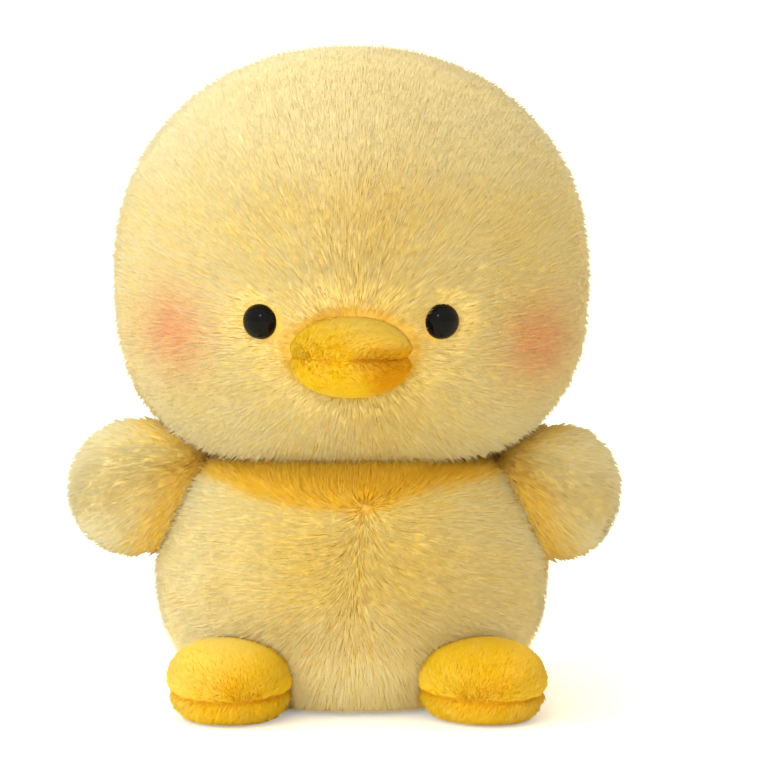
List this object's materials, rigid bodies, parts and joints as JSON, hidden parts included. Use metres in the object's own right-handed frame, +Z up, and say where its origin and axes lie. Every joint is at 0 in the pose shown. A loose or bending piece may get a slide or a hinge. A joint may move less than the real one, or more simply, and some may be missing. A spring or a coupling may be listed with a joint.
{
  "type": "plush chick",
  "caption": "Sitting plush chick with a large fluffy head that nods and turns, stubby wings, a velour beak and velour feet, resting on a flat sewn base.",
  "frame": {"origin": "centre of the flat base panel's underside, on the surface that the chick sits on", "axes": "+Z up through the crown, the face looks towards -Y, and the chick's own left wing is towards +X"},
  "size_m": [0.1338, 0.1083, 0.16],
  "materials": {
    "fur": "matte",
    "velour": "matte",
    "stuffing": "matte",
    "thread": "satin",
    "eye_gloss": "gloss",
    "washer": "satin"
  },
  "bodies": {
    "body": {"body_fur_shell": "fur", "base_panel": "fur", "body_stuffing": "stuffing", "closing_stitches": "thread"},
    "neck": {"neck_stitches": "thread"},
    "head": {"head_fur_shell": "fur", "head_stuffing": "stuffing", "beak_upper": "velour", "beak_lower": "velour", "beak_stuffing": "stuffing", "eye_left": "eye_gloss", "eye_left_washer": "washer", "eye_right": "eye_gloss", "eye_right_washer": "washer"},
    "wing_left": {"wing_left_fur_shell": "fur", "wing_left_stuffing": "stuffing", "wing_left_stitches": "thread"},
    "wing_right": {"wing_right_fur_shell": "fur", "wing_right_stuffing": "stuffing", "wing_right_stitches": "thread"},
    "foot_left": {"foot_left_upper": "velour", "foot_left_sole": "velour", "foot_left_stuffing": "stuffing"},
    "foot_right": {"foot_right_upper": "velour", "foot_right_sole": "velour", "foot_right_stuffing": "stuffing"}
  },
  "joints": [
    {"name": "head_nod", "type": "hinge", "parent": "body", "child": "neck", "pos_m": [0, 0, 0.024], "axis": [1, 0, 0], "range_deg": [-8, 8], "stiffness_Nm_per_rad": 0.6},
    {"name": "head_turn", "type": "hinge", "parent": "neck", "child": "head", "pos_m": [0, 0, 0.024], "axis": [0, 0, 1], "range_deg": [-20, 20], "stiffness_Nm_per_rad": 0.1},
    {"name": "wing_left_flap", "type": "hinge", "parent": "body", "child": "wing_left", "pos_m": [0.04286, 0, 0.04975], "axis": [0, -1, 0], "range_deg": [-12, 9], "stiffness_Nm_per_rad": 0.02},
    {"name": "wing_right_flap", "type": "hinge", "parent": "body", "child": "wing_right", "pos_m": [-0.04286, 0, 0.04975], "axis": [0, 1, 0], "range_deg": [-12, 9], "stiffness_Nm_per_rad": 0.02},
    {"name": "foot_left_lift", "type": "hinge", "parent": "body", "child": "foot_left", "pos_m": [0.0316, -0.029, 0.0025], "axis": [-0.9397, -0.342, 0], "range_deg": [0, 15], "stiffness_Nm_per_rad": 0.02},
    {"name": "foot_right_lift", "type": "hinge", "parent": "body", "child": "foot_right", "pos_m": [-0.0294, -0.029, 0.0025], "axis": [-0.9976, 0.0698, 0], "range_deg": [0, 15], "stiffness_Nm_per_rad": 0.02}
  ]
}
